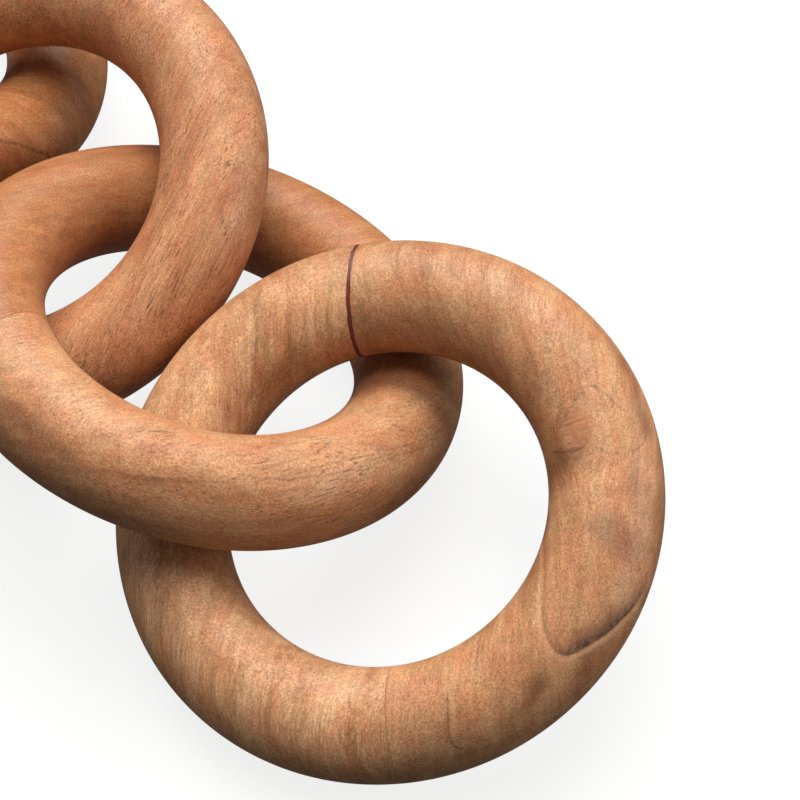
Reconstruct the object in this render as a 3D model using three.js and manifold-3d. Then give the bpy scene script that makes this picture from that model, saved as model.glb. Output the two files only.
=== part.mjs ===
// A loose length of wooden chain: four thick round links, lying on the ground.
// Every link is a turned ring that was split into two half rings, closed around
// its neighbour and glued. Millimetres, +Z up. X runs along the chain from link 4
// to link 1, the end link. The origin is on the ground, under the middle of the chain.

import * as THREE from "three";
import { mergeVertices } from "three/addons/utils/BufferGeometryUtils.js";
import Module from "manifold-3d";

const wasm = await Module();
wasm.setup();

// Driving dimensions
const LINK_WIDTH = 178;
const WOOD_THICKNESS = 36.4;
const GLUE_LINE = 0.3;
const RUBBED_FLAT = 0.5;

// Facets around a whole ring and around its round section
const RING_FACETS = 48;
const SECTION_FACETS = 20;

// Each link lies with one edge on the ground and the other on its neighbour.
// x, y: centre of the ring. lean: how far the ring tips. low: the direction in
// which it tips down to the ground. seam: the direction of its first glue line,
// with the second one straight across. Directions are degrees from +X about +Z.
// wood: colour and roughness of the half that starts at the seam, then the other.
const LINKS = [
  {
    name: "link_1", x: 136.3, y: 0, lean: 20, low: -83, seam: -38,
    halves: ["knotted_half", "plain_half"], wood: [0xc08a5c, 0xc9956a],
  },
  {
    name: "link_2", x: 48.1, y: -2.1, lean: 21.5, low: 88, seam: -109,
    halves: ["pale_half", "red_half"], wood: [0xc48f64, 0xb5774c],
  },
  {
    name: "link_3", x: -43.3, y: -7.2, lean: 22, low: -88, seam: -30,
    halves: ["streaked_half", "plain_half"], wood: [0xbd825a, 0xbd825a],
  },
  {
    name: "link_4", x: -136.3, y: 0, lean: 28, low: 66, seam: -90,
    halves: ["striped_half", "plain_half"], wood: [0xb97c50, 0xbb8054],
  },
];
const WOOD_ROUGHNESS = 0.5;

const SECTION_RADIUS = WOOD_THICKNESS / 2;
const RING_RADIUS = LINK_WIDTH / 2 - SECTION_RADIUS;
const TOOL_SIZE = 4 * LINK_WIDTH;

const radians = THREE.MathUtils.degToRad;

function toSolid(geometry) {
  const bare = geometry.clone();
  bare.deleteAttribute("normal");
  bare.deleteAttribute("uv");
  const merged = mergeVertices(bare);
  const mesh = new wasm.Mesh({
    numProp: 3,
    vertProperties: new Float32Array(merged.attributes.position.array),
    triVerts: new Uint32Array(merged.index.array),
  });
  return new wasm.Manifold(mesh);
}

function toGeometry(solid) {
  const mesh = solid.getMesh();
  const geometry = new THREE.BufferGeometry();
  geometry.setAttribute("position", new THREE.BufferAttribute(mesh.vertProperties, 3));
  geometry.setIndex(new THREE.BufferAttribute(mesh.triVerts, 1));
  return geometry;
}

// The whole ring, turned so that each glue line crosses the middle of a facet
function ringSolid(seam) {
  const ring = new THREE.TorusGeometry(RING_RADIUS, SECTION_RADIUS, SECTION_FACETS, RING_FACETS);
  ring.rotateZ(radians(seam) + Math.PI / RING_FACETS);
  return toSolid(ring);
}

// Everything on one side of the glued plane, less half the glue line
function halfSpace(seam, side) {
  const block = new THREE.BoxGeometry(TOOL_SIZE, TOOL_SIZE, TOOL_SIZE);
  block.translate(0, side * (TOOL_SIZE + GLUE_LINE) / 2, 0);
  block.rotateZ(radians(seam));
  return toSolid(block);
}

// Everything below the ground, in the frame of a link that stands in the pose
function belowGround(pose) {
  const block = new THREE.BoxGeometry(TOOL_SIZE, TOOL_SIZE, TOOL_SIZE);
  block.translate(0, 0, -TOOL_SIZE / 2);
  block.applyMatrix4(pose.clone().invert());
  return toSolid(block);
}

// The link's own group: the ring's axis is tipped from +Z towards its low side
function linkGroup(link) {
  const group = new THREE.Group();
  const low = radians(link.low);
  const lean = radians(link.lean);
  const tippedAbout = new THREE.Vector3(-Math.sin(low), Math.cos(low), 0);
  group.quaternion.setFromAxisAngle(tippedAbout, lean);
  const height = RING_RADIUS * Math.sin(lean) + SECTION_RADIUS - RUBBED_FLAT;
  group.position.set(link.x, link.y, height);
  group.updateMatrix();
  return group;
}

function buildLink(link) {
  const group = linkGroup(link);
  const ring = ringSolid(link.seam).subtract(belowGround(group.matrix));
  link.halves.forEach((half, index) => {
    const side = index === 0 ? 1 : -1;
    const material = new THREE.MeshStandardMaterial({
      color: link.wood[index],
      roughness: WOOD_ROUGHNESS,
      metalness: 0,
    });
    const mesh = new THREE.Mesh(toGeometry(ring.intersect(halfSpace(link.seam, side))), material);
    mesh.name = `${link.name}_${half}`;
    group.add(mesh);
  });
  return group;
}

const chain = new THREE.Group();
LINKS.forEach((link) => chain.add(buildLink(link)));

// The ground point under the middle of the chain's box becomes the origin
const box = new THREE.Box3().setFromObject(chain, true);
const middle = box.getCenter(new THREE.Vector3());
chain.position.set(-middle.x, -middle.y, 0);

export default chain;
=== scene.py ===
"""A loose length of wooden chain, lying down: four thick round links.

Each link is a turned ring that was split along its grain, closed round its neighbour and glued
again, so it is two half rings. The halves are built here, in metres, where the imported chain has
them. Points on a ring are given as two angles in degrees: the first goes round the ring, and the
second round the thickness of the wood, from 0 at the outer edge over 90 at the crest to 180 at
the inner edge.
"""

import math

import bpy
import numpy as np
from bpy.props import FloatProperty, FloatVectorProperty, PointerProperty
from mathutils import Matrix, Vector


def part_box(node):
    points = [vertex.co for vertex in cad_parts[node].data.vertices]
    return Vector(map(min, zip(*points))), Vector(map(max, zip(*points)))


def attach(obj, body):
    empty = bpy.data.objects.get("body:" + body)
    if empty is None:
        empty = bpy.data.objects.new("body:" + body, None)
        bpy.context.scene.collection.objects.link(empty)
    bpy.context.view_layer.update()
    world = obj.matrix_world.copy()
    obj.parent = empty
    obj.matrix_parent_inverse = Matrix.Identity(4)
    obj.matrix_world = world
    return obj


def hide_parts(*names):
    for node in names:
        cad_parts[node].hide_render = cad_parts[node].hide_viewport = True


bl_info = {
    "name": "Wooden Chain",
    "version": (1, 0, 0),
    "blender": (4, 5, 0),
    "location": "View3D > Sidebar > Chain",
    "description": "Builds a loose length of turned wooden chain and the plain studio it lies in",
    "category": "Object",
}

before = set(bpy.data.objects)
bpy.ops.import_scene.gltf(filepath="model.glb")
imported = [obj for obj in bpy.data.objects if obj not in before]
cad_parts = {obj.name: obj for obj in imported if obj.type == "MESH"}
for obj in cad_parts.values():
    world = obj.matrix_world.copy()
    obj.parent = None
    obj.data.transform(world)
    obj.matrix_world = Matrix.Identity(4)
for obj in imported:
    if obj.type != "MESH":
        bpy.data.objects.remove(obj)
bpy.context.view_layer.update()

MM = 0.001

# How each ring lies: the degrees that it leans, and the bearing of its low side.
LEAN = {1: 20.0, 2: 21.5, 3: 22.0, 4: 28.0}
LOW_SIDE = {1: -83.0, 2: 88.0, 3: -88.0, 4: 66.0}

# Where each ring was split. A split is an upright plane at a bearing in degrees, which passes
# the middle of the ring at a distance in mm.
SPLITS = {
    1: ((-42.0, 1.6), (133.5, 11.35)),
    2: ((-93.9, -18.7), (75.0, -5.0)),
    3: ((-30.0, 0.0), (150.0, 0.0)),
    4: ((-90.0, 0.0), (90.0, 0.0)),
}


# The sizes and colours that a user would change.


def length(name, description, default, top):
    """A size of the chain, in metres."""
    return FloatProperty(
        name=name, description=description, default=default, min=0.0, max=top,
        precision=5, unit="LENGTH",
    )


def colour(name, description, default):
    """A colour of the wood or the studio, linear."""
    return FloatVectorProperty(
        name=name, description=description, default=default, min=0.0, max=1.0, size=3,
        subtype="COLOR",
    )


class ChainSizes(bpy.types.PropertyGroup):
    """The sizes that all four links share."""

    link_width: length("Link width", "Outside width of one ring", 178 * MM, 0.4)
    wood_thickness: length("Wood thickness", "Thickness of the round section", 36.4 * MM, 0.1)
    rubbed_flat: length("Rubbed flat", "Depth of the flat that a link lies on", 0.5 * MM, 0.003)
    hair_joint: length("Hair joint", "Half of the gap between two glued halves", 0.02 * MM, 0.001)
    joint_round: length("Joint edge", "Rounding of the edges at a joint", 0.08 * MM, 0.002)
    glue_width: length("Glue line", "Width of the wine-red glue line on link 1", 1.5 * MM, 0.005)
    wobble: length("Hand wobble", "How far the section strays from a true circle", 0.22 * MM, 0.002)
    grid: length("Mesh spacing", "Distance between points on the crest of a ring", 0.8 * MM, 0.01)


class WoodColours(bpy.types.PropertyGroup):
    """The light and dark wood of each kind of half ring, and what marks it."""

    knotted_light: colour("Knotted, light", "Light wood of the knotted half", (0.64, 0.335, 0.172))
    knotted_dark: colour("Knotted, dark", "Dark wood of the knotted half", (0.34, 0.138, 0.057))
    plain_light: colour("Plain, light", "Light wood of link 1's plain half", (0.74, 0.405, 0.220))
    plain_dark: colour("Plain, dark", "Dark wood of link 1's plain half", (0.40, 0.172, 0.072))
    pale_light: colour("Pale, light", "Light wood of link 2's pale half", (0.62, 0.315, 0.158))
    pale_dark: colour("Pale, dark", "Dark wood of link 2's pale half", (0.34, 0.130, 0.053))
    red_light: colour("Red, light", "Light wood of link 2's red half", (0.47, 0.200, 0.084))
    red_dark: colour("Red, dark", "Dark wood of link 2's red half", (0.28, 0.098, 0.035))
    streaked_light: colour("Streaked, light", "Light wood of link 3", (0.64, 0.305, 0.155))
    streaked_dark: colour("Streaked, dark", "Dark wood of link 3", (0.35, 0.132, 0.055))
    striped_light: colour("Striped, light", "Light wood of link 4", (0.64, 0.285, 0.115))
    striped_dark: colour("Striped, dark", "Dark wood of link 4", (0.36, 0.13, 0.045))
    pore: colour("Pores", "The fine dark dashes along the grain", (0.105, 0.04, 0.02))
    stain: colour("Stained figure", "The dark grey-brown in the curved figure", (0.075, 0.04, 0.025))
    heart: colour("Knot", "The redder wood round the knot", (0.40, 0.145, 0.07))
    glue: colour("Glue", "The wine-red glue line", (0.125, 0.022, 0.016))


class StudioLook(bpy.types.PropertyGroup):
    """The plain floor and the soft light."""

    floor: colour("Floor", "The plain pale floor", (0.9, 0.9, 0.895))
    floor_glow: FloatProperty(
        name="Floor glow", description="How far the floor is lit from within, as a light table is",
        default=0.93, min=0.0, max=2.0,
    )
    key: FloatProperty(
        name="Key light", description="Strength of the large soft light overhead",
        default=4.2, min=0.0, max=20.0,
    )
    key_spread: FloatProperty(
        name="Key spread", description="How wide the soft light is, seen from the chain",
        default=math.radians(50), min=0.0, max=math.radians(170), subtype="ANGLE",
    )
    fill: FloatProperty(
        name="Fill light", description="Brightness of the room all round",
        default=0.09, min=0.0, max=2.0,
    )


# Points and distances on a ring.


class Ring:
    """One link's place and sizes, in mm in its own flat frame, and in metres in the world."""

    def __init__(self, number, sizes):
        self.number = number
        self.thick = sizes.wood_thickness / MM / 2
        self.radius = sizes.link_width / MM / 2 - self.thick
        halves = [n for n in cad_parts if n.startswith(f"link_{number}_")]
        corners = [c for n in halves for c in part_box(n)]
        middle = [(min(c[i] for c in corners) + max(c[i] for c in corners)) / 2 for i in (0, 1)]
        lean = math.radians(LEAN[number])
        low = math.radians(LOW_SIDE[number])
        lift = (self.radius * math.sin(lean) + self.thick) * MM - sizes.rubbed_flat
        turn = Matrix.Rotation(lean, 4, (-math.sin(low), math.cos(low), 0))
        self.place = Matrix.Translation((middle[0], middle[1], lift)) @ turn

    def at(self, round_ring, round_wood, swell=0.0):
        """The point at two angles in radians, and the way its surface faces."""
        out = np.cos(round_wood)
        reach = self.radius + (self.thick + swell) * out
        facing = np.stack(
            [out * np.cos(round_ring), out * np.sin(round_ring), np.sin(round_wood)], -1
        )
        height = (self.thick + swell) * np.sin(round_wood)
        point = np.stack([reach * np.cos(round_ring), reach * np.sin(round_ring), height], -1)
        return point, facing

    def spot(self, place):
        """The same for two angles in degrees."""
        return self.at(np.radians(float(place[0])), np.radians(float(place[1])))


def bearing(azimuth, elevation=0.0):
    """A unit direction in a ring's flat frame, from two angles in degrees."""
    a, e = math.radians(azimuth), math.radians(elevation)
    return np.array([math.cos(a) * math.cos(e), math.sin(a) * math.cos(e), math.sin(e)])


def smooth(low, high, value):
    """0 below low, 1 above high, and an even curve between."""
    t = np.clip((value - low) / (high - low), 0, 1)
    return t * t * (3 - 2 * t)


def curve_through(places, steps=24):
    """An even curve through pairs of angles in degrees, with its share of the way at each point."""
    p = np.array(places, float)
    ends = np.vstack([2 * p[0] - p[1], p, 2 * p[-1] - p[-2]])
    points, share = [], []
    for i in range(len(p) - 1):
        a, b, c, d = ends[i : i + 4]
        for t in np.linspace(0, 1, steps, endpoint=i == len(p) - 2):
            bend = (2 * a - 5 * b + 4 * c - d) * t * t + (3 * b - a - 3 * c + d) * t**3
            points.append(0.5 * (2 * b + (c - a) * t + bend))
            share.append((i + t) / (len(p) - 1))
    return np.radians(points), np.array(share)


def beside(ring, points, facing, places):
    """For each point of a ring: mm to a curve, more than 0 on its left, and the share along it."""
    line, share = curve_through(places)
    path, _ = ring.at(line[:, 0], line[:, 1])
    ahead = np.gradient(path, axis=0)
    far = np.full(len(points), 1e9)
    best = np.zeros(len(points), int)
    for i, q in enumerate(path):
        d = ((points - q) ** 2).sum(1)
        closer = d < far
        far[closer] = d[closer]
        best[closer] = i
    gap = points - path[best]
    forward = ahead[best] / np.linalg.norm(ahead[best], axis=1)[:, None]
    side = np.einsum("ij,ij->i", np.cross(facing, forward), gap)
    along = np.einsum("ij,ij->i", forward, gap)
    inside = (best > 0) & (best < len(path) - 1)
    far = np.where(inside, np.abs(side), np.sqrt(far))
    along = np.where(inside, 0, np.abs(along))
    return np.where(side < 0, -far, far), share[best], along


# Marks in the wood. Each is placed by angles on its ring.

# Thin dark lines: the places they pass, half their width in mm, and how dark they are.
VEINS = {
    "link_1_knotted_half": [
        ([(57.0, 143), (55.2, 128), (54.2, 115), (54.1, 106), (54.8, 97)], 0.5, 0.85),
        ([(52.8, 86), (51.5, 79), (50.8, 73), (52.1, 65)], 0.35, 0.6),
        ([(51.4, 56), (52.4, 47), (54.3, 37), (56.5, 31)], 0.45, 0.5),
        ([(69.0, 97), (69.3, 82), (68.3, 72), (65.8, 66), (63.6, 61), (60.9, 57)], 0.4, 0.5),
        ([(61.6, 127), (63.4, 114), (66.4, 100), (67.5, 91), (68.1, 83)], 0.35, 0.5),
        ([(125.0, 38), (123.6, 58), (122.1, 80), (120.2, 110), (118.2, 140)], 0.35, 0.35),
        ([(-24.2, 98), (-25.6, 78), (-27.4, 55), (-27.3, 43), (-25.4, 30)], 0.4, 0.75),
    ],
    "link_1_plain_half": [
        ([(163, 48), (166.2, 69), (170.6, 98), (176.4, 121), (182.1, 139), (187.5, 155)], 0.8, 0.5),
        ([(149.5, 50), (151.6, 90), (155.2, 122)], 0.35, 0.25),
        ([(-50.9, 118), (-49.7, 93), (-49.6, 74), (-49.6, 52)], 0.5, 0.4),
    ],
    "link_2_pale_half": [
        ([(-24, 67.5), (-10.1, 68.5), (1.6, 63.6), (14.5, 50.2), (26, 36)], 0.45, 0.45),
        ([(-36, 59.8), (-21.3, 59.4), (-8.3, 58), (6.6, 50.9), (22, 31)], 0.45, 0.45),
        ([(-66, 28), (-54.3, 40.4), (-44, 49.2), (-32, 60)], 0.6, 0.4),
    ],
    "link_4_striped_half": [
        ([(-9, 66), (-6.1, 62.1), (-0.5, 51.8), (7, 31.8), (9, 20)], 0.7, 0.8),
    ],
}

# Soft patches: middle, reach along the ring and round the wood in mm, turn in degrees, and what
# the wood's colour is multiplied by.
PATCHES = {
    "link_1_knotted_half": [
        ((52.0, 134), (5, 8), 0, (0.48, 0.44, 0.42)),
        ((44.0, 95), (3.2, 26), 14, (1.20, 1.22, 1.26)),
        ((45.0, 52), (5, 6), 0, (0.72, 0.64, 0.66)),
        ((33.3, 79), (6, 6), 0, (0.70, 0.70, 0.76)),
        ((31.1, 54), (5, 7), 0, (0.70, 0.66, 0.70)),
        ((60.0, 31), (9, 3.6), 0, (0.60, 0.56, 0.56)),
        ((73.0, 24), (14, 3.0), 0, (0.70, 0.62, 0.60)),
        ((61.0, 134), (5, 5), 0, (0.72, 0.66, 0.62)),
        ((-5.5, 53), (6, 3), 30, (0.62, 0.56, 0.54)),
        ((4.4, 34), (5, 3), 30, (0.72, 0.64, 0.60)),
        ((-18.0, 92), (3.5, 24), 0, (1.12, 1.14, 1.12)),
    ],
    "link_1_plain_half": [
        ((175.0, 150), (14, 5), 0, (0.72, 0.64, 0.58)),
        ((168.0, 70), (2.5, 24), 12, (0.84, 0.80, 0.76)),
    ],
    "link_2_pale_half": [
        ((26.5, 95), (4, 22), 0, (0.66, 0.62, 0.62)),
        ((-48.0, 44), (26, 3.0), 8, (0.76, 0.70, 0.68)),
        ((-80.0, 30), (22, 3.0), 0, (0.76, 0.70, 0.68)),
        ((-75.0, 78), (18, 9), 0, (1.08, 1.10, 1.12)),
    ],
    "link_4_striped_half": [
        ((-4.0, 38), (16, 7), 0, (0.72, 0.60, 0.55)),
    ],
}

# The dark curved figure on link 1, along its sharp outer edge.
CRESCENT = [
    (26.5, 150), (20.1, 130.4), (15.2, 119.1), (11.2, 110.2), (7.4, 100.6), (4.8, 90.3),
    (2.9, 78.2), (2.2, 67.4), (2.5, 58.5), (3.7, 52.0), (6.1, 46.9), (9.1, 40.4),
    (12.4, 32.8), (15.7, 26.3), (18.5, 19.7), (21.2, 15.4), (23.6, 12.5), (28.0, 9.5),
]
KNOT = (57.7, 107.7)
KNOT_LEAN = 24.0
KNOT_CROWDING = 0.55
KNOT_PUSH = 7.0


def vein_field(ring, name, points, facing):
    """For each point: mm to its nearest thin line, how dark that line is there, and its width."""
    field = np.zeros((len(points), 3))
    field[:, 0] = 9
    field[:, 2] = 0.5
    for places, width, dark in VEINS.get(name, []):
        gap, share, past = beside(ring, points, facing, places)
        fade = smooth(0, 0.12, share) * smooth(1, 0.88, share) * smooth(1.2, 0.2, past)
        near = smooth(width * 2.2 + 1.1, width * 1.2 + 0.5, np.abs(gap))
        strength = dark * fade * near
        mine = strength > field[:, 1]
        field[mine] = np.stack([gap, strength, np.full(len(gap), width)], 1)[mine]
    return field


def patch_field(ring, name, points):
    """What each point's colour is multiplied by, from the soft patches of one half."""
    field = np.ones((len(points), 3))
    for place, (along, across), turn, tint in PATCHES.get(name, []):
        middle, up = ring.spot(place)
        forward = bearing(place[0] + 90)
        over = np.cross(up, forward)
        t = math.radians(turn)
        gap = points - middle
        a = gap @ (forward * math.cos(t) + over * math.sin(t)) / along
        b = gap @ (over * math.cos(t) - forward * math.sin(t)) / across
        c = gap @ up / (across + 4)
        share = np.exp(-((a * a + b * b + c * c) ** 1.2))[:, None]
        field *= 1 + share * (np.array(tint) - 1)
    return field


def crescent_field(ring, points, facing):
    """The curved figure: mm inside its edge, how dark it is there, and how far it fades inward."""
    gap, share, past = beside(ring, points, facing, CRESCENT)
    dark = np.interp(share, [0, 0.1, 0.3, 0.42, 0.5, 0.62, 0.8, 0.92, 1],
                     [0.15, 0.35, 0.40, 0.55, 0.85, 1.0, 0.95, 0.6, 0.0])
    fade = np.interp(share, [0, 0.2, 0.42, 0.6, 0.75, 0.9, 1], [1.0, 1.4, 2.6, 5.2, 4.4, 2.5, 1.2])
    return np.stack([gap, dark * smooth(3, 0.3, past), fade], 1)


def knot_field(ring, points, grain):
    """Rings round the knot that crowd together below it: mm, share of a turn, and how near."""
    middle, up = ring.spot(KNOT)
    along = grain - up * (grain @ up)
    along /= np.linalg.norm(along)
    across = np.cross(along, up)
    gap = points - middle
    lean = math.radians(KNOT_LEAN)
    ahead = gap @ (along * math.cos(lean) + across * math.sin(lean))
    aside = gap @ (across * math.cos(lean) - along * math.sin(lean))
    crowd = KNOT_CROWDING
    far = np.sqrt((crowd * ahead) ** 2 + (1 - crowd**2) * (ahead**2 + (1.25 * aside) ** 2))
    out = (far - crowd * ahead) / (1 - crowd**2)
    off = gap @ up / 7.0
    return np.stack([out, np.arctan2(aside, ahead) / (2 * math.pi), np.exp(-off * off)], 1)


# How each half's wood was cut. The bearing and rise of its grain, the bearing and rise of the
# way that its growth layers face, and mm from the middle of the ring to the middle of the trunk.
BOARDS = {
    "link_1_knotted_half": ((136, -24), (46, 6), 90),
    "link_1_plain_half": ((131, 22), (44, -6), 140),
    "link_2_pale_half": ((74, 3), (164, 40), 120),
    "link_2_red_half": ((77, -3), (167, 48), 110),
    "link_3_streaked_half": ((108, 2), (20, 38), 100),
    "link_3_plain_half": ((108, -4), (16, 44), 150),
    "link_4_striped_half": ((37, 34), (-50, 30), 90),
    "link_4_plain_half": ((40, 28), (-48, 34), 120),
}

# What each half shows: the tones it is made of, its slot, and how strong its layers, fine
# streaks and pores are.
LOOKS = {
    "link_1_knotted_half": ("knotted", "figured_wood", 0.8, 0.7, 0.5),
    "link_1_plain_half": ("plain", "figured_wood", 0.8, 1.1, 0.6),
    "link_2_pale_half": ("pale", "pale_wood", 0.6, 0.8, 0.8),
    "link_2_red_half": ("red", "red_wood", 0.6, 0.5, 0.5),
    "link_3_streaked_half": ("streaked", "streaked_wood", 0.6, 0.9, 1.0),
    "link_3_plain_half": ("streaked", "streaked_wood", 0.7, 0.9, 0.9),
    "link_4_striped_half": ("striped", "red_wood", 0.8, 0.8, 0.7),
    "link_4_plain_half": ("striped", "red_wood", 0.8, 0.8, 0.7),
}
GLUED = {1: 1}


def grain_axes(name):
    """Along the grain, across the board and through the growth layers, for one half."""
    (grain_a, grain_e), (layer_a, layer_e), _ = BOARDS[name]
    grain = bearing(grain_a, grain_e)
    layer = bearing(layer_a, layer_e)
    layer -= grain * (layer @ grain)
    layer /= np.linalg.norm(layer)
    return grain, np.cross(layer, grain), layer


def fibre_field(ring, name, points):
    """Each point's place in the board, in mm: along the grain, across it, and through the layers."""
    grain, across, layer = grain_axes(name)
    trunk = BOARDS[name][2]
    if name == "link_1_knotted_half":
        middle, up = ring.spot(KNOT)
        flat = np.cross(grain, up)
        flat /= np.linalg.norm(flat)
        gap = points - middle
        side = gap @ flat
        spread = (gap**2).sum(1)
        push = KNOT_PUSH**2 * side / (spread + 0.5 * KNOT_PUSH**2)
        points = points - push[:, None] * flat
    u, v, w = points @ grain, points @ across, points @ layer
    return np.stack([u, v, np.hypot(w + trunk, v) - trunk], 1)


def split_angle(split, reach):
    """The angle round the ring where a split passes, at a distance from the middle in mm."""
    azimuth, offset = split
    return np.radians(azimuth) + np.arcsin(offset / reach)


def half_grid(ring, sizes, side, grid):
    """Angles of one half's rows, from joint to joint, with how far each row's edge is rounded."""
    ends = SPLITS[ring.number] if side == 0 else SPLITS[ring.number][::-1]
    turns = int(2 * math.pi * ring.thick / grid)
    round_wood = np.linspace(0, 2 * math.pi, turns, endpoint=False)
    reach = ring.radius + ring.thick * np.cos(round_wood)
    start, stop = (split_angle(split, reach) for split in ends)
    stop = start + np.mod(stop - start, 2 * math.pi)
    gap = sizes.hair_joint / MM
    edges = [0.0 if is_glued(ring, split) else sizes.joint_round / MM for split in ends]
    corner = np.array([0.0, 0.3, 1.0, 2.4])
    drop = np.array([1.0, 0.3, 0.0, 0.0])
    rows = [start + (gap + edges[0] * c + 0.02 * (c > 0)) / reach for c in corner]
    sunk = [edges[0] * d for d in drop]
    for share in np.linspace(0, 1, int(math.pi * ring.radius / grid))[1:-1]:
        rows.append(start + share * (stop - start))
        sunk.append(0.0)
    rows += [stop - (gap + edges[1] * c + 0.02 * (c > 0)) / reach for c in corner[::-1]]
    sunk += [edges[1] * d for d in drop[::-1]]
    return np.array(rows), round_wood, np.array(sunk)


def is_glued(ring, split):
    """True at the one joint that shows its wine-red glue."""
    return ring.number in GLUED and SPLITS[ring.number][GLUED[ring.number]] == split


def hand_wobble(ring, round_ring, round_wood, most):
    """How far the turned section strays from a true circle, in mm."""
    seed = ring.number * 1.7
    slow = np.sin(2 * round_ring + seed) * np.cos(round_wood + 0.8 * seed)
    even = np.sin(3 * round_ring + 2.3 * seed) * np.cos(2 * round_wood - seed)
    fine = np.sin(7 * round_ring - seed) * np.sin(3 * round_wood + 1.9 * seed)
    return most * (0.5 * slow + 0.35 * even + 0.15 * fine)


def cap_faces(first, count, middle, turned):
    """The flat end of a half ring, as a fan round its middle point."""
    fan = [(first + i, first + (i + 1) % count, middle) for i in range(count)]
    return [f[::-1] for f in fan] if turned else fan


def add_field(mesh, name, values):
    """Keeps three numbers for each point of a mesh, for its finish to read."""
    kept = mesh.attributes.new(name, "FLOAT_VECTOR", "POINT")
    kept.data.foreach_set("vector", np.ascontiguousarray(values, np.float32).ravel())


def half_ring(number, side, name, sizes):
    """Makes one half ring with the fields that its finish reads, lying where its link lies."""
    ring = Ring(number, sizes)
    grid = sizes.grid / MM * (0.75 if name == "link_1_knotted_half" else 1.0)
    rows, round_wood, sunk = half_grid(ring, sizes, side, grid)
    turns = len(round_wood)
    round_wood = np.broadcast_to(round_wood, rows.shape)
    swell = hand_wobble(ring, rows, round_wood, sizes.wobble / MM) - sunk[:, None]
    points, facing = ring.at(rows, round_wood, swell)
    middles = np.stack([points[0].mean(0), points[-1].mean(0)])
    ends = np.stack([facing[0].mean(0), facing[-1].mean(0)])
    points = np.vstack([points.reshape(-1, 3), middles])
    facing = np.vstack([facing.reshape(-1, 3), ends])

    turn = np.array(ring.place.to_3x3())
    height = points @ turn[2] + ring.place.translation.z / MM
    shaped = points + np.maximum(-height, 0)[:, None] * turn[2]

    count = len(rows)
    faces = []
    for i in range(count - 1):
        a, b = i * turns, (i + 1) * turns
        faces += [(a + j, b + j, b + (j + 1) % turns, a + (j + 1) % turns) for j in range(turns)]
    body_faces = len(faces)
    faces += cap_faces(0, turns, count * turns, False)
    faces += cap_faces((count - 1) * turns, turns, count * turns + 1, True)

    mesh = bpy.data.meshes.new(name + "_wood")
    mesh.from_pydata((shaped * MM).tolist(), [], faces)
    mesh.transform(ring.place)
    mesh.validate()
    smooth_faces = np.arange(len(faces)) < body_faces
    mesh.polygons.foreach_set("use_smooth", smooth_faces)

    grain, _, _ = grain_axes(name)
    reach = np.hypot(points[:, 0], points[:, 1])
    bow = np.arctan2(points[:, 1], points[:, 0])
    joints = []
    for split in SPLITS[number]:
        off = np.mod(bow - split_angle(split, np.maximum(reach, 30)) + math.pi, 2 * math.pi)
        joints.append((off - math.pi) * reach)
    end_grain = np.abs(facing @ grain)
    add_field(mesh, "fibre", fibre_field(ring, name, points))
    add_field(mesh, "blush", patch_field(ring, name, points))
    add_field(mesh, "vein", vein_field(ring, name, points, facing))
    add_field(mesh, "joint", np.stack([joints[0], joints[1], end_grain], 1))
    if name == "link_1_knotted_half":
        add_field(mesh, "crescent", crescent_field(ring, points, facing))
        add_field(mesh, "knot", knot_field(ring, points, grain))

    piece = bpy.data.objects.new(name + "_wood", mesh)
    bpy.context.scene.collection.objects.link(piece)
    return piece


# Finishes.


class Finish:
    """Lays out the nodes of one finish."""

    def __init__(self, name):
        self.material = bpy.data.materials.new(name)
        self.material.use_nodes = True
        self.tree = self.material.node_tree
        self.tree.nodes.clear()

    def put(self, kind, feeds, out=0, **settings):
        """Adds a node, sets it, feeds its sockets and gives back one of its outputs."""
        node = self.tree.nodes.new(kind)
        for key, value in settings.items():
            setattr(node, key, value)
        for socket, feed in feeds.items():
            if isinstance(feed, bpy.types.NodeSocket):
                self.tree.links.new(feed, node.inputs[socket])
            else:
                node.inputs[socket].default_value = feed
        return node.outputs[out] if node.outputs else None

    def sum(self, operation, a, b=0.0, c=0.0):
        return self.put("ShaderNodeMath", {0: a, 1: b, 2: c}, operation=operation)

    def vector(self, operation, a, b=(0, 0, 0)):
        return self.put("ShaderNodeVectorMath", {0: a, 1: b}, operation=operation)

    def noise(self, place, detail=2.0, rough=0.5, out=0):
        feeds = {"Vector": place, "Scale": 1.0, "Detail": detail, "Roughness": rough}
        return self.put("ShaderNodeTexNoise", feeds, out)

    def grained(self, place, along, across, detail=2.0, rough=0.5, over=None):
        """An uneven pattern in the board, in waves per mm along and across its grain."""
        pace = (along, across if over is None else over, across)
        return self.noise(self.vector("MULTIPLY", place, pace), detail, rough)

    def shade(self, colour_now, much):
        """A colour made lighter or darker by a number."""
        scaled = self.vector("SCALE", colour_now)
        self.tree.links.new(much, scaled.node.inputs["Scale"])
        return scaled

    def spread(self, value, low, high, to_low=0.0, to_high=1.0):
        """Stretches low to high over to_low to to_high, with soft ends."""
        feeds = {0: value, 1: low, 2: high, 3: to_low, 4: to_high}
        return self.put("ShaderNodeMapRange", feeds, interpolation_type="SMOOTHSTEP")

    def mix(self, share, a, b, blend="MIX"):
        return self.put(
            "ShaderNodeMix", {0: share, 6: a, 7: b}, 2, data_type="RGBA", blend_type=blend
        )

    def field(self, name):
        return self.put("ShaderNodeAttribute", {}, "Vector", attribute_name=name)

    def parts(self, value):
        node = self.put("ShaderNodeSeparateXYZ", {0: value}).node
        return node.outputs[0], node.outputs[1], node.outputs[2]

    def line(self, gap, width):
        """1 on a line and 0 away from it, from mm to the line and half its width."""
        share = self.sum("DIVIDE", gap, width)
        square = self.sum("MULTIPLY", share, share)
        return self.sum("POWER", math.exp(-1), square)


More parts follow.
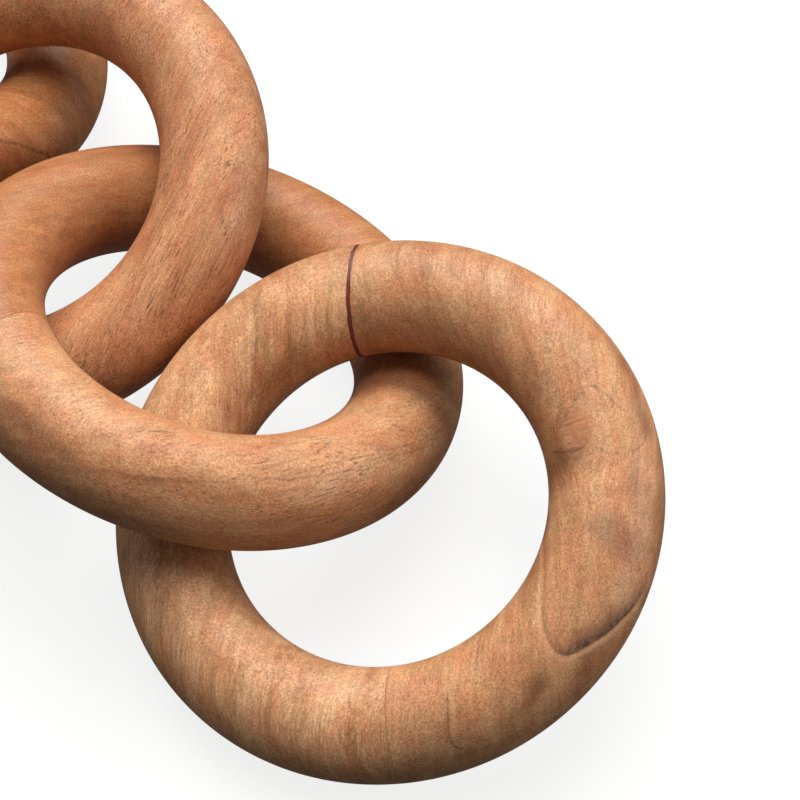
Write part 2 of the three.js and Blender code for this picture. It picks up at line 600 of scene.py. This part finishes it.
YELLOWER = (1.02, 1.10, 1.08, 1.0)
REDDER = (1.0, 0.89, 0.84, 1.0)


def opaque(rgb):
    """A colour with its fourth number."""
    return (*rgb, 1.0)


def wood_finish(name, colours):
    """Oiled wood, with its growth layers, fine streaks, pores and marks."""
    tone, _, layer_share, streak_share, pore_share = LOOKS[name]
    light = opaque(getattr(colours, tone + "_light"))
    dark = opaque(getattr(colours, tone + "_dark"))
    pore_colour = opaque(colours.pore)
    f = Finish(name + "_oiled_wood")
    fibre = f.field("fibre")

    sway = f.noise(f.vector("MULTIPLY", fibre, (0.018, 0.05, 0.05)), 2, 0.5, 1)
    sway = f.vector("SUBTRACT", sway, (0.5, 0.5, 0.5))
    bent = f.vector("ADD", fibre, f.vector("MULTIPLY", sway, (0, 7, 7)))
    layers = f.spread(f.grained(bent, 0.006, 0.17, 3, 0.6, 0.03), 0.36, 0.66)
    lines = f.spread(f.grained(bent, 0.008, 0.60, 3, 0.6, 0.08), 0.38, 0.66)
    streaks = f.spread(f.grained(bent, 0.030, 1.15, 3, 0.75), 0.38, 0.64)
    cloud = f.spread(f.grained(fibre, 0.030, 0.055, 4, 0.6), 0.36, 0.64)

    share = f.sum("MULTIPLY", layers, 0.36 * layer_share)
    share = f.sum("MULTIPLY_ADD", lines, 0.24 * layer_share, share)
    share = f.sum("MULTIPLY_ADD", streaks, 0.34 * streak_share, share)
    share = f.sum("MULTIPLY_ADD", cloud, 0.28, share)
    colour_now = f.mix(share, light, dark)

    warmth = f.spread(f.grained(fibre, 0.07, 0.15, 4, 0.7), 0.36, 0.64)
    colour_now = f.vector("MULTIPLY", colour_now, f.mix(warmth, YELLOWER, REDDER))
    mottle = f.spread(f.grained(bent, 0.07, 0.24, 4, 0.7), 0.30, 0.70, 0.89, 1.11)
    speckle = f.spread(f.grained(fibre, 1.5, 1.8, 1, 0.5), 0.26, 0.74, 0.76, 1.24)
    colour_now = f.shade(colour_now, f.sum("MULTIPLY", mottle, speckle))

    dashes = f.spread(f.grained(bent, 0.15, 2.3, 1, 0.5), 0.57, 0.70)
    crowd = f.spread(f.grained(fibre, 0.05, 0.12, 2, 0.5), 0.36, 0.62, 0.2, 1.0)
    pores = f.sum("MULTIPLY", f.sum("MULTIPLY", dashes, crowd), 0.75 * pore_share)
    colour_now = f.mix(pores, colour_now, pore_colour)
    colour_now = f.vector("MULTIPLY", colour_now, f.field("blush"))

    gap, dark_here, width = f.parts(f.field("vein"))
    wander = f.spread(f.grained(fibre, 0.30, 0.30, 2, 0.6), 0.0, 1.0, -1.1, 1.1)
    ragged = f.spread(f.grained(fibre, 0.6, 1.0, 2, 0.6), 0.32, 0.62, 0.2, 1.0)
    vein = f.line(f.sum("MULTIPLY_ADD", wander, width, gap), width)
    vein = f.sum("MULTIPLY", f.sum("MULTIPLY", vein, dark_here), ragged)
    colour_now = f.mix(vein, colour_now, pore_colour)

    if name == "link_1_knotted_half":
        colour_now = curved_figure(f, colour_now, ragged, opaque(colours.stain))
        colour_now = knot_rings(f, colour_now, opaque(colours.heart))

    first, last, end_grain = f.parts(f.field("joint"))
    colour_now = f.shade(colour_now, f.spread(end_grain, 0.55, 0.98, 1.0, 0.88))
    seam = f.line(first, 0.20)
    other = f.line(last, 0.20)
    glue = None
    if name.startswith("link_1_"):
        other, glue = glue_line(f, last)
    seam = f.sum("MULTIPLY", f.sum("MAXIMUM", seam, other), f.sum("MULTIPLY", ragged, 0.34))
    colour_now = f.mix(seam, colour_now, pore_colour)

    rough = f.spread(streaks, 0, 1, 0.40, 0.47)
    rough = f.sum("MULTIPLY_ADD", pores, 0.3, rough)
    if glue is not None:
        colour_now = f.mix(glue, colour_now, opaque(colours.glue))
        rough = f.sum("MULTIPLY_ADD", glue, -0.16, rough)

    relief = f.sum("MULTIPLY", streaks, -0.010)
    relief = f.sum("MULTIPLY_ADD", dashes, -0.05 * pore_share, relief)
    relief = f.sum("MULTIPLY_ADD", vein, -0.06, relief)
    bump = f.put("ShaderNodeBump", {"Strength": 0.5, "Distance": MM, "Height": relief})
    shader = f.put(
        "ShaderNodeBsdfPrincipled",
        {"Base Color": colour_now, "Roughness": rough, "Normal": bump, "IOR": 1.48},
    )
    f.put("ShaderNodeOutputMaterial", {"Surface": shader})
    return f.material


def curved_figure(f, colour_now, ragged, stain):
    """The dark curved figure: a crisp outer edge that fades inward, with a light line outside."""
    inside, dark_here, fade = f.parts(f.field("crescent"))
    edge = f.spread(inside, -0.25, 0.35)
    far = f.sum("DIVIDE", f.sum("MAXIMUM", inside, 0.0), fade)
    soft = f.sum("POWER", math.exp(-1), f.sum("MULTIPLY", far, far))
    shade = f.sum("MULTIPLY", f.sum("MULTIPLY", edge, soft), dark_here)
    shade = f.sum("MULTIPLY", shade, f.spread(ragged, 0.35, 1.0, 0.72, 0.98))
    rim = f.line(f.sum("ADD", inside, 1.1), 0.8)
    rim = f.sum("MULTIPLY", f.sum("MULTIPLY", rim, dark_here), 0.45)
    colour_now = f.mix(rim, colour_now, (0.80, 0.46, 0.27, 1.0))
    return f.mix(shade, colour_now, stain)


def knot_rings(f, colour_now, heart):
    """The knot: uneven rings that crowd together below it, redder than the wood about them."""
    out, turn, near = f.parts(f.field("knot"))
    fibre = f.field("fibre")
    stir = f.spread(f.grained(fibre, 0.28, 0.28, 3, 0.6), 0.0, 1.0, -1.6, 1.6)
    ring_place = f.put("ShaderNodeCombineXYZ", {0: f.sum("ADD", out, stir), 1: 0.0, 2: 0.0})
    rings = f.noise(f.vector("MULTIPLY", ring_place, (0.9, 1, 1)), 2, 0.6)
    dark_rings = f.spread(rings, 0.50, 0.66)
    light_rings = f.spread(rings, 0.46, 0.36)
    broken = f.spread(f.grained(fibre, 0.22, 0.22, 2, 0.5), 0.34, 0.60, 0.25, 1.0)
    reach = f.sum("MULTIPLY", f.spread(out, 5.0, 12.5, 1.0, 0.0), near)
    warm = f.sum("MULTIPLY", f.sum("MULTIPLY", f.spread(out, 2.5, 8.0, 1.0, 0.0), near), 0.42)
    colour_now = f.mix(warm, colour_now, heart)
    pale = f.sum("MULTIPLY", f.sum("MULTIPLY", light_rings, reach), 0.30)
    colour_now = f.mix(pale, colour_now, (0.66, 0.36, 0.20, 1.0))
    deep = f.sum("MULTIPLY", f.sum("MULTIPLY", dark_rings, reach), broken)
    return f.mix(f.sum("MULTIPLY", deep, 0.48), colour_now, heart)


def glue_line(f, gap):
    """The wine-red line of glue at one joint: what is left of the hair joint, and the glue."""
    wander = f.noise(f.vector("MULTIPLY", f.field("fibre"), (0.25, 0.25, 0.25)), 2, 0.5)
    width = f.spread(wander, 0.3, 0.7, 0.60, 0.84)
    off = f.sum("DIVIDE", f.sum("ABSOLUTE", gap), width)
    glue = f.spread(off, 0.72, 1.18, 1.0, 0.0)
    return f.sum("MULTIPLY", glue, 0.0), glue


# The operators that build the chain and the studio.


def build_half(context, number, side, name):
    """Builds, finishes and registers one half ring."""
    look = context.scene
    piece = half_ring(number, side, name, look.chain_sizes)
    piece.data.materials.append(wood_finish(name, look.chain_colours))
    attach(piece, "root")
    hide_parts(name)
    return piece


class CHAIN_OT_link_1(bpy.types.Operator):
    """Build the end link, with the knot, the curved figure and the wine-red glue line"""

    bl_idname = "chain.link_1"
    bl_label = "End Link"

    def execute(self, context):
        build_half(context, 1, 0, "link_1_knotted_half")
        build_half(context, 1, 1, "link_1_plain_half")
        return {"FINISHED"}


class CHAIN_OT_link_2(bpy.types.Operator):
    """Build the second link, with its pale half and its red half"""

    bl_idname = "chain.link_2"
    bl_label = "Second Link"

    def execute(self, context):
        build_half(context, 2, 0, "link_2_pale_half")
        build_half(context, 2, 1, "link_2_red_half")
        return {"FINISHED"}


class CHAIN_OT_link_3(bpy.types.Operator):
    """Build the third link, with its slanting streaks"""

    bl_idname = "chain.link_3"
    bl_label = "Third Link"

    def execute(self, context):
        build_half(context, 3, 0, "link_3_streaked_half")
        build_half(context, 3, 1, "link_3_plain_half")
        return {"FINISHED"}


class CHAIN_OT_link_4(bpy.types.Operator):
    """Build the fourth link, with its dark stripe"""

    bl_idname = "chain.link_4"
    bl_label = "Fourth Link"

    def execute(self, context):
        build_half(context, 4, 0, "link_4_striped_half")
        build_half(context, 4, 1, "link_4_plain_half")
        return {"FINISHED"}


def lay_floor(studio):
    """The plain pale floor, which throws no light up at the chain."""
    reach = 6.0
    mesh = bpy.data.meshes.new("studio_floor")
    corners = [(-reach, -reach, 0), (reach, -reach, 0), (reach, reach, 0), (-reach, reach, 0)]
    mesh.from_pydata(corners, [], [(0, 1, 2, 3)])
    floor = bpy.data.objects.new("studio_floor", mesh)
    bpy.context.scene.collection.objects.link(floor)
    f = Finish("pale_floor")
    shader = f.put(
        "ShaderNodeBsdfPrincipled",
        {
            "Base Color": (0.14, 0.14, 0.14, 1.0),
            "Roughness": 0.9,
            "Specular IOR Level": 0.0,
            "Emission Color": opaque(studio.floor),
            "Emission Strength": studio.floor_glow,
        },
    )
    f.put("ShaderNodeOutputMaterial", {"Surface": shader})
    mesh.materials.append(f.material)
    floor.visible_diffuse = False
    floor.visible_glossy = False


# Each soft light's bearing and height in degrees, its share of the key light's strength, and
# whether the oiled wood mirrors it.
SOFTBOXES = [
    ("overhead_softbox", (137.8, 72.6), 0.69, False),
    ("far_softbox", (137.8, 45.3), 0.44, True),
    ("right_softbox", (50.2, 23.0), 0.24, True),
    ("left_softbox", (-134.7, 23.0), 0.06, True),
]


def hang_lights(studio):
    """Wide soft lights, most of them overhead and to the far side, and a faint even room."""
    for name, (azimuth, elevation), share, mirrored in SOFTBOXES:
        lamp = bpy.data.lights.new(name, "SUN")
        lamp.energy = studio.key * share
        lamp.angle = studio.key_spread
        holder = bpy.data.objects.new(name, lamp)
        holder.visible_glossy = mirrored
        bpy.context.scene.collection.objects.link(holder)
        toward = Vector(bearing(azimuth, elevation))
        holder.rotation_euler = toward.to_track_quat("Z", "Y").to_euler()

    room = bpy.data.worlds.new("plain_room")
    bpy.context.scene.world = room
    room.use_nodes = True
    tree = room.node_tree
    tree.nodes.clear()
    seen = tree.nodes.new("ShaderNodeBackground")
    seen.inputs["Color"].default_value = (1.0, 1.0, 1.0, 1.0)
    lit = tree.nodes.new("ShaderNodeBackground")
    lit.inputs["Color"].default_value = (1.0, 0.93, 0.86, 1.0)
    lit.inputs["Strength"].default_value = studio.fill
    path = tree.nodes.new("ShaderNodeLightPath")
    choose = tree.nodes.new("ShaderNodeMixShader")
    out = tree.nodes.new("ShaderNodeOutputWorld")
    tree.links.new(path.outputs["Is Camera Ray"], choose.inputs[0])
    tree.links.new(lit.outputs[0], choose.inputs[1])
    tree.links.new(seen.outputs[0], choose.inputs[2])
    tree.links.new(choose.outputs[0], out.inputs[0])


def place_camera():
    """The camera, high over the end link, looking back along the chain."""
    middle = Vector((87.8, 52.5, 0.0))
    back = Vector(bearing(-42.22, 56.14))
    lens = bpy.data.cameras.new("camera")
    lens.lens = 130.1
    lens.sensor_width = 36.0
    lens.clip_start = 0.01
    lens.clip_end = 50.0
    camera = bpy.data.objects.new("camera", lens)
    camera.location = (middle + back * 990.8) * MM
    camera.rotation_euler = back.to_track_quat("Z", "Y").to_euler()
    bpy.context.scene.collection.objects.link(camera)
    bpy.context.scene.camera = camera


class CHAIN_OT_studio(bpy.types.Operator):
    """Lay the pale floor, hang the soft light and place the camera"""

    bl_idname = "chain.studio"
    bl_label = "Studio"

    def execute(self, context):
        studio = context.scene.chain_studio
        lay_floor(studio)
        hang_lights(studio)
        place_camera()
        context.scene.view_settings.view_transform = "Standard"
        return {"FINISHED"}


OPERATORS = [CHAIN_OT_studio, CHAIN_OT_link_1, CHAIN_OT_link_2, CHAIN_OT_link_3, CHAIN_OT_link_4]
GROUPS = {
    "chain_sizes": ChainSizes,
    "chain_colours": WoodColours,
    "chain_studio": StudioLook,
}


class CHAIN_PT_panel(bpy.types.Panel):
    """The sizes, the colours and the buttons that build the chain"""

    bl_idname = "CHAIN_PT_panel"
    bl_label = "Wooden Chain"
    bl_space_type = "VIEW_3D"
    bl_region_type = "UI"
    bl_category = "Chain"

    def draw(self, context):
        for name, group in GROUPS.items():
            box = self.layout.box()
            for key in group.__annotations__:
                box.prop(getattr(context.scene, name), key)
        for operator in OPERATORS:
            self.layout.operator(operator.bl_idname)


def register():
    for kind in [*GROUPS.values(), *OPERATORS, CHAIN_PT_panel]:
        bpy.utils.register_class(kind)
    for name, group in GROUPS.items():
        setattr(bpy.types.Scene, name, PointerProperty(type=group))


def unregister():
    for name in GROUPS:
        delattr(bpy.types.Scene, name)
    for kind in [CHAIN_PT_panel, *reversed(OPERATORS), *reversed(list(GROUPS.values()))]:
        bpy.utils.unregister_class(kind)


def main():
    register()
    for build in (
        bpy.ops.chain.studio,
        bpy.ops.chain.link_1,
        bpy.ops.chain.link_2,
        bpy.ops.chain.link_3,
        bpy.ops.chain.link_4,
    ):
        build()


if __name__ == "__main__":
    main()
